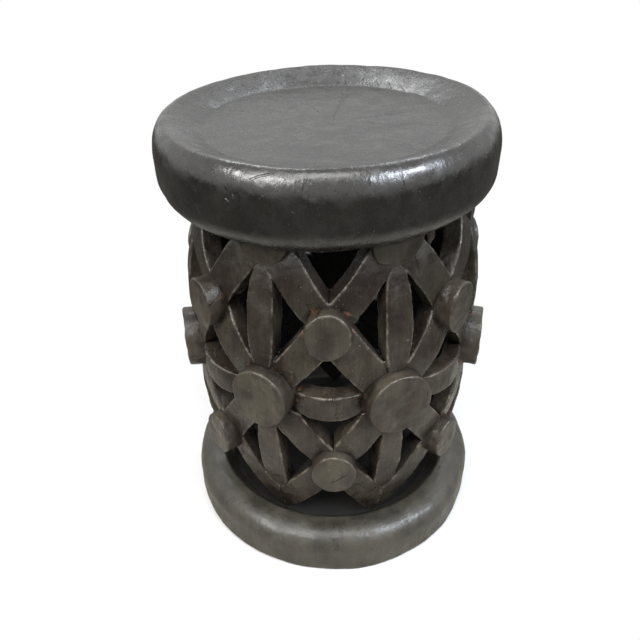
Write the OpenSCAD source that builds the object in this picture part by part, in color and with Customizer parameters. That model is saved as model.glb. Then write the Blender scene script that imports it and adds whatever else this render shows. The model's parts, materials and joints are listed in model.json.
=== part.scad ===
// Openwork stool carved from one log: a dished seat, a hollow drum of crossing bands and bosses, a base ring.
// Millimetres, +Z up. The origin is the centre of the face that stands on the ground, and -Y is the front.

/* [Base ring] */
// Outer radius of the base ring
base_r = 155.5; // [150:0.5:165]
// Height of the base ring
base_h = 50; // [44:1:60]
// Width of the rolled shoulder around the top of the base ring
base_shoulder_w = 22; // [14:1:24]
// Height of the rolled shoulder around the top of the base ring
base_shoulder_h = 22; // [14:1:28]
// Radius of the worn lower edge of the base ring
base_toe = 5; // [2:0.5:8]
// Width of the slope around the inside of the base ring's top
base_throat_w = 12; // [6:1:12]
// Depth of the slope around the inside of the base ring's top
base_throat_h = 14; // [6:1:18]
// Least width left flat on the base ring's top between its shoulder and that slope
base_land = 2; // [1:0.5:4]
// Width of the lower slope from there in to the floor of the base
base_floor_w = 10; // [6:1:16]
// Depth of the floor of the base below the first slope
base_floor_drop = 6; // [2:1:10]

/* [Seat] */
// Outer radius of the seat
seat_r = 146.5; // [140:0.5:155]
// Thickness of the seat from its underside to the top of its rim
seat_t = 67; // [62:1:80]
// Height of the rolled shoulder around the top of the seat
seat_shoulder_h = 28; // [22:1:34]
// Width of the rolled edge around the underside of the seat
seat_belly_w = 22; // [14:1:24]
// Height of the rolled edge around the underside of the seat
seat_belly_h = 24; // [14:1:26]
// Radius of the dish's flat floor
dish_r = 103; // [90:1:108]
// Depth of the dish below the rim
dish_depth = 12; // [6:1:24]
// Width of the slope from the dish's floor to the top of the rim
dish_wall_w = 29; // [20:0.5:30]
// Lift of the seat's back edge, in degrees
seat_tilt_back = 2; // [0:0.25:2.5]
// Lift of the seat's right edge, in degrees
seat_tilt_right = 1; // [0:0.25:1.5]
// Shift of the seat to the right of the base ring's axis
seat_shift_x = -4.5; // [-6:0.5:6]
// Shift of the seat backwards from the base ring's axis
seat_shift_y = 4.5; // [-6:0.5:6]

/* [Rows of bosses] */
// Height of the lower bosses' centres above the base ring
lower_gap = 76; // [68:1:84]
// Height of the spider bodies' centres above the lower bosses
spider_gap = 79; // [70:1:88]
// Height of the upper bosses' centres above the spider bodies
upper_gap = 71; // [66:1:80]
// Height of the seat's underside above the upper bosses' centres
seat_gap = 72; // [66:1:80]

/* [Bosses] */
// Radius of a spider body
spider_r = 28.5; // [25:0.5:31]
// Length of a spider body from the hollow out to its face
spider_face = 34; // [29:0.5:39]
// Radius of an upper boss
upper_r = 20.5; // [18:0.5:23]
// Length of an upper boss from the hollow out to its face
upper_face = 28.5; // [25:0.5:33]
// Radius of a lower boss
lower_r = 21; // [18:0.5:23]
// Length of a lower boss from the hollow out to its face
lower_face = 30.5; // [25:0.5:35]
// Radius of a half boss under the seat
rim_tab_r = 21.5; // [18:0.5:24]
// Length of a half boss under the seat from the hollow out to its face
rim_tab_face = 12; // [9:0.5:16]
// Width of the worn edge around a boss's face
boss_edge = 2; // [1:0.5:3]

/* [Hand-cut shifts] */
// Turn of each upper boss from its even place, in degrees, anticlockwise seen from above
upper_turn = [-0.8, -1.1, 0.7, -0.5, 0.9, -0.7, -0.5]; // [-2:0.1:2]
// Lift of each upper boss from its row
upper_lift = [2, -2, 1, -1, 1.5, -1, 0]; // [-4:0.5:4]
// Turn of each spider body from its even place, in degrees, anticlockwise seen from above
spider_turn = [-1.9, -0.1, 1.1, -0.9, 0.7, 0.5, 1.1]; // [-2:0.1:2]
// Lift of each spider body from its row
spider_lift = [0, -0.5, 2, -1.5, 1, -2.5, 4]; // [-4:0.5:4]
// Turn of each lower boss from its even place, in degrees, anticlockwise seen from above
lower_turn = [1.2, 0.5, -0.9, 0.8, -0.6, 0.4, 0.9]; // [-2:0.1:2]
// Lift of each lower boss from its row
lower_lift = [2, -3.5, 1, -1, 2, -1, 1.5]; // [-4:0.5:4]

/* [Bands] */
// Radius of the hollow inside the drum behind its bosses
hollow_r = 113; // [110:1:116]
// Distance of the bands' faces from the hollow beside a spider body
spider_tuck = 18; // [15:0.5:21]
// Distance of the bands' faces from the hollow beside an upper boss
upper_tuck = 12; // [9:0.5:15]
// Distance of the bands' faces from the hollow beside a lower boss
lower_tuck = 15; // [12:0.5:18]
// Lean of the bands' tops inside the seat, inwards past the hollow
rim_lean = 12; // [8:0.5:16]
// Lean of the bands' feet inwards past the hollow
foot_lean = 3; // [0:0.5:6]
// Depth of a band from its face to its back
wall_d = 16; // [13:0.5:19]
// Outward swell of a spider's slanted leg between its ends
leg_bow = 6; // [2:0.5:8]
// Outward swell of a rim arm between its ends
rim_arm_bow = 12; // [8:0.5:14]
// Outward swell of a foot arm between its ends
foot_arm_bow = 4; // [2:0.5:6]
// Width of a slanted band
band_w = 30; // [24:0.5:31]
// Height above the seat's underside that the uppermost bands aim at
rim_aim = 10; // [4:0.5:14]
// Height above the base ring that the lowest bands aim at
foot_aim = 0; // [-4:0.5:6]
// Outward swell of an upper slat between its ends
upper_slat_bow = 18; // [14:0.5:20]
// Outward swell of a lower slat between its ends
lower_slat_bow = 14; // [10:0.5:16]
// Width of an upright slat at its middle
slat_mid_w = 24; // [16:0.5:26]
// Width of an upright slat at its ends
slat_end_w = 9; // [6:0.5:12]
// Length of a slat's end that is let in under a boss
slat_tongue = 6; // [3:0.5:8]
// Height of a lower slat's foot above the base ring
slat_foot = 13; // [10:0.5:16]
// Distance of a level band's face from the hollow at its middle
side_mid = 26; // [23:0.5:28]
// Distance of a level band's face from the hollow beside a spider body
side_tuck = 18; // [15:0.5:19]
// Height of a level band at its middle
side_mid_h = 26; // [18:0.5:27]
// Height of a level band at its ends
side_end_h = 17; // [12:0.5:20]
// Depth of a level band from its face to its back
side_depth = 16; // [12:0.5:18]
// Drop of a level band below the centres of the spider bodies beside it
side_drop = 4; // [0:0.5:6]
// Gap left at a curved seam between two carved members
seam = 0.2; // [0.1:0.05:0.3]

/* [Hidden] */
SPIDERS = 7;
BOSS_TURN = 30;
ROLL_STEPS = 9;
BOW_STEPS = 4;
BACK_STEPS = 2;
SLOPE_MID = 0.45;
COLUMN = 180 / SPIDERS;
LOWER_Z = base_h + lower_gap;
SPIDER_Z = LOWER_Z + spider_gap;
UPPER_Z = SPIDER_Z + upper_gap;
SEAT_Z = UPPER_Z + seat_gap;
BAND_TOP_Z = SEAT_Z + seat_belly_h;
FLOOR_Z = base_h - base_throat_h - base_floor_drop;
SPIDER_R = hollow_r + spider_tuck;
UPPER_R = hollow_r + upper_tuck;
LOWER_R = hollow_r + lower_tuck;
RIM_R = hollow_r - rim_lean;
FOOT_R = hollow_r - foot_lean;
SIDE_MID_R = hollow_r + side_mid;
SIDE_TUCK_R = hollow_r + side_tuck;
OUTSIDE = max(seat_r, base_r, hollow_r + spider_face) + boss_edge;
WOOD = "#2f2925";
WORN_WOOD = "#3d352e";
RAW_WOOD = "#4a3527";

function numbered(name) = [for (i = [1 : SPIDERS]) str(name, "_", i)];

// Angles run anticlockwise seen from above, from the front. Spider i stands between bosses i and i + 1.
function listed(i) = (i - 1 + SPIDERS) % SPIDERS;
function boss_column(i) = 2 * COLUMN * (i - 1);
function upper_angle(i) = boss_column(i) + upper_turn[listed(i)];
function lower_angle(i) = boss_column(i) + lower_turn[listed(i)];
function spider_angle(i) = boss_column(i) + COLUMN + spider_turn[listed(i)];
function upper_height(i) = UPPER_Z + upper_lift[listed(i)];
function lower_height(i) = LOWER_Z + lower_lift[listed(i)];
function spider_height(i) = SPIDER_Z + spider_lift[listed(i)];

// Points of a quarter roll about [cx, cz] with half axes w and h, from the angle from_a to to_a
function roll(cx, cz, w, h, from_a, to_a) = [
    for (i = [0 : ROLL_STEPS])
        let (a = from_a + (to_a - from_a) * i / ROLL_STEPS)
        [cx + w * cos(a), cz + h * sin(a)]
];

// Steps along a swelling length, each as its place from -1 to 1 and its share of the swell
function swells(power, steps) = [
    for (i = [-steps : steps])
        let (u = i / steps)
        [u, 1 - pow(abs(u), power)]
];

// Turns a piece built at the front to its angle about the stool's axis
module at_angle(a) {
    rotate([0, 0, a]) children();
}

// Pushes a flat outline outwards from the axis. The outline is drawn as seen from the front.
module carve_through(a) {
    at_angle(a) rotate([90, 0, 0]) linear_extrude(OUTSIDE) children();
}

module seat_body() {
    dish_edge = dish_r + dish_wall_w;
    outline = concat(
        [[0, 0]],
        roll(seat_r - seat_belly_w, seat_belly_h, seat_belly_w, seat_belly_h, -90, 0),
        roll(dish_edge, seat_t - seat_shoulder_h, seat_r - dish_edge, seat_shoulder_h, 0, 90),
        [[dish_r + dish_wall_w / 2, seat_t - dish_depth * SLOPE_MID]],
        [[dish_r, seat_t - dish_depth]],
        [[0, seat_t - dish_depth]]
    );
    translate([seat_shift_x, seat_shift_y, SEAT_Z])
        rotate([seat_tilt_back, -seat_tilt_right, 0])
            rotate_extrude($fn = 96) polygon(outline);
}

module base_body() {
    // The shoulder is a rolled edge, so it goes no further in than the ring's wall lets it
    shoulder_w = min(base_shoulder_w, base_r - hollow_r - base_throat_w - base_land);
    outline = concat(
        [[0, 0]],
        roll(base_r - base_toe, base_toe, base_toe, base_toe, -90, 0),
        roll(base_r - shoulder_w, base_h - base_shoulder_h, shoulder_w, base_shoulder_h, 0, 90),
        [[hollow_r + base_throat_w, base_h]],
        [[hollow_r, base_h - base_throat_h]],
        [[hollow_r - base_floor_w, FLOOR_Z]],
        [[0, FLOOR_Z]]
    );
    rotate_extrude($fn = 96) polygon(outline);
}

// A round boss that lies along the radius at an angle, from the hollow out to its worn face
module boss(a, z, r, face) {
    at_angle(a) translate([0, 0, z]) rotate([90, 0, 0]) {
        translate([0, 0, hollow_r]) cylinder(r = r, h = face - boss_edge, $fn = 64);
        translate([0, 0, hollow_r + face - boss_edge])
            cylinder(r1 = r, r2 = r - boss_edge, h = boss_edge, $fn = 64);
    }
}

// The room that a boss and its seam take out of the bands that end on it, turned about its own axis to
// keep the line where it closes away from the places where bands meet
module boss_room(a, z, r) {
    at_angle(a) translate([0, 0, z]) rotate([90, 0, 0])
        rotate(BOSS_TURN) cylinder(r = r + seam, h = OUTSIDE, $fn = 64);
}

module upper_boss_room(i) {
    boss_room(upper_angle(i), upper_height(i), upper_r);
}

module lower_boss_room(i) {
    boss_room(lower_angle(i), lower_height(i), lower_r);
}

module spider_room(i) {
    boss_room(spider_angle(i), spider_height(i), spider_r);
}

module rim_tab_room(i) {
    boss_room(spider_angle(i), SEAT_Z, rim_tab_r);
}

// What the seat takes off the tops of the pieces under it
module seat_room() {
    translate([0, 0, -seam]) seat_body();
}

// What the base ring takes off the feet of the pieces on it
module base_room() {
    translate([0, 0, seam]) base_body();
}

// Upright line of a wall from [radius, height] low to [radius, height] high that swells outwards by bow
function wall_line(low, high, bow, steps) = [
    for (s = swells(2, steps))
        (low + high) / 2 + (high - low) * s[0] / 2 + [bow * s[1], 0]
];

// Part of the drum's wall between two angles, from [radius, height] low to [radius, height] high of its
// face. Half a seam is left at each angle and each height, where the wall meets the next part.
module drum_wall(from_a, to_a, low, high, bow) {
    foot = low + [0, seam / 2];
    top = high - [0, seam / 2];
    depth = [wall_d, 0];
    outline = concat(
        wall_line(foot, top, bow, BOW_STEPS),
        wall_line(top - depth, foot - depth, bow, BACK_STEPS)
    );
    inset_a = asin(seam / 2 / hollow_r);
    rotate([0, 0, from_a + inset_a - 90])
        rotate_extrude(angle = to_a - from_a - 2 * inset_a, $fn = 96) polygon(outline);
}

// Outline of a straight band between two points, carried past both by its own width
module band_outline(p, q) {
    along = (q - p) / norm(q - p);
    side = [-along[1], along[0]] * band_w / 2;
    start = p - along * band_w;
    end = q + along * band_w;
    polygon([start + side, start - side, end - side, end + side]);
}

// Outline of an upright leaf from low to high
module leaf_outline(low, high, mid_w, end_w) {
    mid = (low + high) / 2;
    half = (high - low) / 2;
    right = [for (s = swells(3, BOW_STEPS)) [(end_w + (mid_w - end_w) * s[1]) / 2, mid + half * s[0]]];
    left = [for (i = [len(right) - 1 : -1 : 0]) [-right[i][0], right[i][1]]];
    polygon(concat(right, left));
}

// The room of a slanted band from a place on the left to a place on the right
module band_room(left_a, left_z, right_a, right_z) {
    half_x = LOWER_R * sin((right_a - left_a) / 2);
    carve_through((left_a + right_a) / 2) band_outline([-half_x, left_z], [half_x, right_z]);
}

// The band itself, cut off at the angles of both places, from [radius, height] low up to high of its face
module slanted_band(left_a, left_z, right_a, right_z, low, high, bow) {
    intersection() {
        drum_wall(left_a, right_a, low, high, bow);
        band_room(left_a, left_z, right_a, right_z);
    }
}

// The bands that run from an upper boss up to the seat, to the left and right of the boss
module rim_arm_left(i) {
    z = upper_height(i);
    slanted_band(spider_angle(i - 1), SEAT_Z + rim_aim, upper_angle(i), z,
        [UPPER_R, z], [RIM_R, BAND_TOP_Z], rim_arm_bow);
}

module rim_arm_right(i) {
    z = upper_height(i);
    slanted_band(upper_angle(i), z, spider_angle(i), SEAT_Z + rim_aim,
        [UPPER_R, z], [RIM_R, BAND_TOP_Z], rim_arm_bow);
}

// The bands that run from a lower boss down to the base ring, to the left and right of the boss
module foot_arm_left(i) {
    z = lower_height(i);
    slanted_band(spider_angle(i - 1), base_h + foot_aim, lower_angle(i), z,
        [FOOT_R, FLOOR_Z], [LOWER_R, z], foot_arm_bow);
}

module foot_arm_right(i) {
    z = lower_height(i);
    slanted_band(lower_angle(i), z, spider_angle(i), base_h + foot_aim,
        [FOOT_R, FLOOR_Z], [LOWER_R, z], foot_arm_bow);
}

// The slanted legs of a spider, above and below it and to its left and right
module upper_left_leg(i) {
    slanted_band(upper_angle(i), upper_height(i), spider_angle(i), spider_height(i),
        [SPIDER_R, spider_height(i)], [UPPER_R, upper_height(i)], leg_bow);
}

module upper_right_leg(i) {
    slanted_band(spider_angle(i), spider_height(i), upper_angle(i + 1), upper_height(i + 1),
        [SPIDER_R, spider_height(i)], [UPPER_R, upper_height(i + 1)], leg_bow);
}

module lower_left_leg(i) {
    slanted_band(lower_angle(i), lower_height(i), spider_angle(i), spider_height(i),
        [LOWER_R, lower_height(i)], [SPIDER_R, spider_height(i)], leg_bow);
}

module lower_right_leg(i) {
    slanted_band(spider_angle(i), spider_height(i), lower_angle(i + 1), lower_height(i + 1),
        [LOWER_R, lower_height(i + 1)], [SPIDER_R, spider_height(i)], leg_bow);
}

// The room of the upright slats above and below a spider, with a gap around it
module upper_slat_room(i, gap = 0) {
    carve_through(spider_angle(i))
        leaf_outline(
            spider_height(i) + spider_r - slat_tongue - gap,
            SEAT_Z - rim_tab_r + slat_tongue + gap,
            slat_mid_w + 2 * gap,
            slat_end_w + 2 * gap
        );
}

module lower_slat_room(i, gap = 0) {
    carve_through(spider_angle(i))
        leaf_outline(
            base_h + slat_foot - gap,
            spider_height(i) - spider_r + slat_tongue + gap,
            slat_mid_w + 2 * gap,
            slat_end_w + 2 * gap
        );
}

module upper_slat(i) {
    difference() {
        intersection() {
            drum_wall(upper_angle(i), upper_angle(i + 1),
                [SPIDER_R, spider_height(i)], [RIM_R, BAND_TOP_Z], upper_slat_bow);
            upper_slat_room(i);
        }
        spider_room(i);
        rim_tab_room(i);
        band_room(upper_angle(i), upper_height(i), spider_angle(i), SEAT_Z + rim_aim);
        band_room(spider_angle(i), SEAT_Z + rim_aim, upper_angle(i + 1), upper_height(i + 1));
    }
}

module lower_slat(i) {
    difference() {
        intersection() {
            drum_wall(lower_angle(i), lower_angle(i + 1),
                [FOOT_R, base_h], [SPIDER_R, spider_height(i)], lower_slat_bow);
            lower_slat_room(i);
        }
        spider_room(i);
        band_room(lower_angle(i), lower_height(i), spider_angle(i), base_h + foot_aim);
        band_room(spider_angle(i), base_h + foot_aim, lower_angle(i + 1), lower_height(i + 1));
    }
}

// The level band from spider i to the next one round lies on an arc that bulges out between them
function side_from(i) = spider_angle(i);
function side_to(i) = spider_angle(i + 1);
function side_mid_angle(i) = (side_from(i) + side_to(i)) / 2;
function side_mid_height(i) = (spider_height(i) + spider_height(i + 1)) / 2 - side_drop;
function side_half_angle(i) = (side_to(i) - side_from(i)) / 2 - asin(spider_r / (hollow_r + spider_face));

module side_leg_room(i) {
    reach = SIDE_TUCK_R * sin(side_half_angle(i)) + slat_tongue;
    carve_through(side_mid_angle(i))
        translate([0, side_mid_height(i)]) rotate(90) leaf_outline(-reach, reach, side_mid_h, side_end_h);
}

module side_leg_arc(i) {
    half_x = SIDE_TUCK_R * sin(side_half_angle(i));
    sag = SIDE_MID_R - SIDE_TUCK_R * cos(side_half_angle(i));
    arc_r = (half_x * half_x + sag * sag) / (2 * sag);
    at_angle(side_mid_angle(i)) translate([0, arc_r - SIDE_MID_R, side_mid_height(i) - side_mid_h])
        difference() {
            cylinder(r = arc_r, h = 2 * side_mid_h, $fn = 96);
            cylinder(r = arc_r - side_depth, h = 2 * side_mid_h, $fn = 96);
        }
}

module seat() {
    color(WOOD) seat_body();
}

module base_ring() {
    color(WOOD) base_body();
}

module rim_tabs() {
    color(RAW_WOOD) for (i = [1 : SPIDERS])
        difference() {
            boss(spider_angle(i), SEAT_Z, rim_tab_r, rim_tab_face);
            seat_room();
        }
}

module spider_body(i) {
    color(WORN_WOOD) boss(spider_angle(i), spider_height(i), spider_r, spider_face);
}

module upper_boss(i) {
    color(WORN_WOOD) boss(upper_angle(i), upper_height(i), upper_r, upper_face);
}

module lower_boss(i) {
    color(WORN_WOOD) boss(lower_angle(i), lower_height(i), lower_r, lower_face);
}

module spider_legs(i) {
    color(WOOD) {
        difference() {
            upper_left_leg(i);
            spider_room(i);
            upper_boss_room(i);
            upper_slat_room(i, seam);
            side_leg_room(i - 1);
        }
        difference() {
            upper_right_leg(i);
            spider_room(i);
            upper_boss_room(i + 1);
            upper_slat_room(i, seam);
            side_leg_room(i);
        }
        difference() {
            lower_left_leg(i);
            spider_room(i);
            lower_boss_room(i);
            lower_slat_room(i, seam);
            side_leg_room(i - 1);
        }
        difference() {
            lower_right_leg(i);
            spider_room(i);
            lower_boss_room(i + 1);
            lower_slat_room(i, seam);
            side_leg_room(i);
        }
        upper_slat(i);
        lower_slat(i);
    }
}

module side_leg(i) {
    color(WOOD) difference() {
        intersection() {
            side_leg_arc(i);
            side_leg_room(i);
            at_angle(side_mid_angle(i)) translate([-OUTSIDE / 2, -OUTSIDE, 0])
                cube([OUTSIDE, OUTSIDE, SEAT_Z]);
        }
        cylinder(r = hollow_r, h = SEAT_Z, $fn = 96);
        spider_room(i);
        spider_room(i + 1);
    }
}

module rim_arms(i) {
    color(WOOD) {
        difference() {
            rim_arm_left(i);
            upper_boss_room(i);
            rim_tab_room(i - 1);
            seat_room();
        }
        difference() {
            rim_arm_right(i);
            upper_boss_room(i);
            rim_tab_room(i);
            seat_room();
        }
    }
}

module foot_arms(i) {
    color(WOOD) {
        difference() {
            foot_arm_left(i);
            lower_boss_room(i);
            base_room();
        }
        difference() {
            foot_arm_right(i);
            lower_boss_room(i);
            base_room();
        }
    }
}

seat();
base_ring();
rim_tabs();
for (i = [1 : SPIDERS]) {
    spider_body(i);
    upper_boss(i);
    lower_boss(i);
    spider_legs(i);
    side_leg(i);
    rim_arms(i);
    foot_arms(i);
}
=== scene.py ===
"""Looks of the carved openwork stool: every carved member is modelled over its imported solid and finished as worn,
ebonised wood. Metres, +Z up, and -Y is the front. Angles run anticlockwise seen from above, from the front."""

import json
import logging
import math
import random
from dataclasses import dataclass, field, replace
from enum import Enum
from typing import Any, Sequence

import bpy
import numpy as np
from mathutils import Matrix, Vector

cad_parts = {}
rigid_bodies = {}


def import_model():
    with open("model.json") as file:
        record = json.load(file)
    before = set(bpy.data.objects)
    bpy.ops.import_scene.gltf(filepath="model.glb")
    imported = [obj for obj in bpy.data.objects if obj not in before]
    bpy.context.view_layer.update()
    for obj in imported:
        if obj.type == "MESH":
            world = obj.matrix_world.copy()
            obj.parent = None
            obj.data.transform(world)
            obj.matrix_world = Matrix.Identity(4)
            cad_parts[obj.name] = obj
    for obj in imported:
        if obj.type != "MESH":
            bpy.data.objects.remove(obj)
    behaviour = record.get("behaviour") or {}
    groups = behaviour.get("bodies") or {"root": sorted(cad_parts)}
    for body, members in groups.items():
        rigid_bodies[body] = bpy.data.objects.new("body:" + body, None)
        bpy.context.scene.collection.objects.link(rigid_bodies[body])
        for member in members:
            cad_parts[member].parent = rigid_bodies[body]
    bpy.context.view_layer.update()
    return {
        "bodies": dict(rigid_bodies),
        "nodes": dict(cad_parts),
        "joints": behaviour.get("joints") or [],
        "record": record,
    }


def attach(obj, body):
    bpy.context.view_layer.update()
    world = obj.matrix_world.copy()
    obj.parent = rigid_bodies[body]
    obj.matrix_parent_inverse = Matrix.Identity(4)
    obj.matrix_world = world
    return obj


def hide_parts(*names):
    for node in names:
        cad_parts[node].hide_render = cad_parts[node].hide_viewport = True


log = logging.getLogger("stool")

Point2 = tuple[float, float]
Point3 = tuple[float, float, float]
Colour = tuple[float, float, float]
Piece = bpy.types.Object
Socket = bpy.types.NodeSocket

COLUMNS = 7
UP = Vector((0, 0, 1))
WHITE = (1.0, 1.0, 1.0)


class Cut(Enum):
    """What a cutter does to the piece it meets."""

    AWAY = "DIFFERENCE"
    KEEP = "INTERSECT"


class Slot(Enum):
    """The record's material slots."""

    RIM = "rim_wood"
    BAND = "band_wood"
    BOSS = "boss_wood"


class Row(Enum):
    """The drum's rows of bosses."""

    UPPER = "upper_boss"
    SPIDER = "spider_body"
    LOWER = "lower_boss"


def radial(angle: float) -> Vector:
    """Direction from the stool's axis outwards at an angle."""
    return Vector((math.sin(angle), -math.cos(angle), 0.0))


def tangent(angle: float) -> Vector:
    """Direction to the right of someone who faces the drum at an angle."""
    return Vector((math.cos(angle), math.sin(angle), 0.0))


def low_first(*ends: Point2) -> list[Point2]:
    """Places given by radius and height, the lowest first."""
    return sorted(ends, key=lambda end: end[1])


class Bench:
    """Blender's own modelling tools, used on one piece at a time."""

    @staticmethod
    def deselect() -> None:
        """Leaves edit mode and selects nothing."""
        if bpy.context.object and bpy.context.object.mode != "OBJECT":
            bpy.ops.object.mode_set(mode="OBJECT")
        bpy.ops.object.select_all(action="DESELECT")

    @staticmethod
    def pick(obj: Piece) -> None:
        """Selects one object alone and makes it active."""
        Bench.deselect()
        obj.select_set(True)
        bpy.context.view_layer.objects.active = obj

    @staticmethod
    def start_line(name: str, points: Sequence[Vector], closed: bool) -> Piece:
        """Draws a line of edges from a plane primitive that is drawn together to its first point.

        Args:
            name: name of the new object.
            points: the line's points.
            closed: whether the ends are joined and the outline is filled with a face.

        Returns:
            The object, in edit mode.
        """
        Bench.deselect()
        bpy.ops.mesh.primitive_plane_add(size=0.001, location=(0, 0, 0))
        obj = bpy.context.object
        obj.name = obj.data.name = name
        bpy.ops.object.mode_set(mode="EDIT")
        bpy.ops.mesh.select_all(action="SELECT")
        bpy.ops.mesh.merge(type="CENTER")
        bpy.ops.transform.translate(value=points[0])
        for here, there in zip(points, points[1:]):
            bpy.ops.mesh.extrude_vertices_move(TRANSFORM_OT_translate={"value": there - here})
        bpy.ops.mesh.select_all(action="SELECT")
        if closed:
            bpy.ops.mesh.edge_face_add()
        return obj

    @staticmethod
    def close_up(obj: Piece) -> Piece:
        """Merges doubled points, turns the faces outwards and leaves edit mode.

        Args:
            obj: the piece, in edit mode.

        Returns:
            The piece.
        """
        bpy.ops.mesh.select_all(action="SELECT")
        bpy.ops.mesh.remove_doubles(threshold=1e-6)
        bpy.ops.mesh.normals_make_consistent(inside=False)
        bpy.ops.object.mode_set(mode="OBJECT")
        return obj

    @staticmethod
    def turned(name: str, outline: Sequence[Point2], steps: int) -> Piece:
        """Turns an outline about the Z axis, as on a lathe.

        Args:
            name: name of the new object.
            outline: radius and height of each point. It starts and ends on the axis.
            steps: how many steps make the full turn.

        Returns:
            The closed solid.
        """
        obj = Bench.start_line(name, [Vector((r, 0, z)) for r, z in outline], closed=False)
        bpy.ops.mesh.spin(steps=steps, angle=math.tau, center=(0, 0, 0), axis=UP)
        return Bench.close_up(obj)

    @staticmethod
    def bisect(obj: Piece, point: Vector, normal: Vector) -> None:
        """Cuts off what lies past a plane, on the side its normal points to, and closes the cut.

        Args:
            obj: the piece.
            point: a point of the plane.
            normal: direction in which the waste lies.
        """
        Bench.pick(obj)
        bpy.ops.object.mode_set(mode="EDIT")
        bpy.ops.mesh.select_all(action="SELECT")
        bpy.ops.mesh.bisect(plane_co=point, plane_no=normal, use_fill=True, clear_outer=True)
        bpy.ops.object.mode_set(mode="OBJECT")

    @staticmethod
    def modifier(obj: Piece, kind: str, **settings: Any) -> None:
        """Adds a modifier with its settings and applies it.

        Args:
            obj: the piece.
            kind: the modifier's type.
            settings: its settings.
        """
        Bench.pick(obj)
        made = obj.modifiers.new(kind.lower(), kind)
        for key, value in settings.items():
            setattr(made, key, value)
        bpy.ops.object.modifier_apply(modifier=made.name)

    @staticmethod
    def cut(obj: Piece, cutter: Piece, way: Cut) -> None:
        """Cuts one solid with another, which is used up."""
        Bench.modifier(obj, "BOOLEAN", object=cutter, operation=way.value, solver="EXACT")
        bpy.data.objects.remove(cutter)

    @staticmethod
    def place(obj: Piece, matrix: Matrix) -> None:
        """Moves a piece and applies its place to its mesh."""
        Bench.pick(obj)
        obj.matrix_world = matrix
        bpy.ops.object.transform_apply(location=True, rotation=True, scale=True)

    @staticmethod
    def join(parts: Sequence[Piece], name: str) -> Piece:
        """Makes one object of several.

        Args:
            parts: the objects.
            name: name of the new one.

        Returns:
            The new object.
        """
        Bench.deselect()
        for part in parts:
            part.select_set(True)
        bpy.context.view_layer.objects.active = parts[0]
        if len(parts) > 1:
            bpy.ops.object.join()
        parts[0].name = parts[0].data.name = name
        return parts[0]

    @staticmethod
    def hand_cut(obj: Piece, dents: Sequence[Point2], inward: float = 0.5) -> None:
        """Pushes the surface in and out by cloudy noise, as hand tools leave it.

        Args:
            obj: the piece.
            dents: size of each kind of dent, and depth from its lowest point to its highest.
            inward: share of the depth that lies below the surface. 1 keeps the piece inside its old size.
        """
        for size, depth in dents:
            clouds = bpy.data.textures.new("dents", "CLOUDS")
            clouds.noise_scale, clouds.noise_depth = size, 1
            Bench.modifier(
                obj, "DISPLACE", texture=clouds, texture_coords="LOCAL", strength=depth, mid_level=inward
            )
            bpy.data.textures.remove(clouds)


@dataclass(frozen=True)
class BossPlace:
    """Where a packed boss sits on the drum: its angle, height and radius, and how far out its face is."""

    angle: float
    height: float
    radius: float
    face: float

    @property
    def spot(self) -> Point2:
        """Its angle and height."""
        return self.angle, self.height

    @classmethod
    def of(cls, node: Piece) -> "BossPlace":
        """Reads a boss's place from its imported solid.

        Args:
            node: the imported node.

        Returns:
            Its place.
        """
        co = np.array([v.co for v in node.data.vertices], float).reshape(-1, 3)
        mid = (co.max(0) + co.min(0)) / 2
        angle = math.atan2(mid[0], -mid[1])
        out, side = co @ np.array(radial(angle)), co @ np.array(tangent(angle))
        angle += math.atan2((side.max() + side.min()) / 2, float(out.mean()))
        return cls(angle, mid[2], (co[:, 2].max() - co[:, 2].min()) / 2, float(out.max()))


@dataclass(frozen=True)
class Half:
    """The upper or lower half of the drum.

    A tip is the radius and height of the bands' face where they are cut off. The inner side is the one of an arm's
    two sides, upper first, that faces the spider.
    """

    row: Row
    arms: str
    boss_r: float
    slat_tip: Point2
    arm_tip: Point2
    aim_z: float
    slat_bow: float
    arm_bow: float
    inner_side: int


UPPER_HALF = Half(
    Row.UPPER, "rim_arms", boss_r=0.125, slat_tip=(0.101, 0.372), arm_tip=(0.101, 0.372), aim_z=0.358,
    slat_bow=0.018, arm_bow=0.012, inner_side=1,
)
LOWER_HALF = Half(
    Row.LOWER, "foot_arms", boss_r=0.128, slat_tip=(0.110, 0.050), arm_tip=(0.110, 0.030), aim_z=0.050,
    slat_bow=0.014, arm_bow=0.004, inner_side=0,
)


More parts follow.
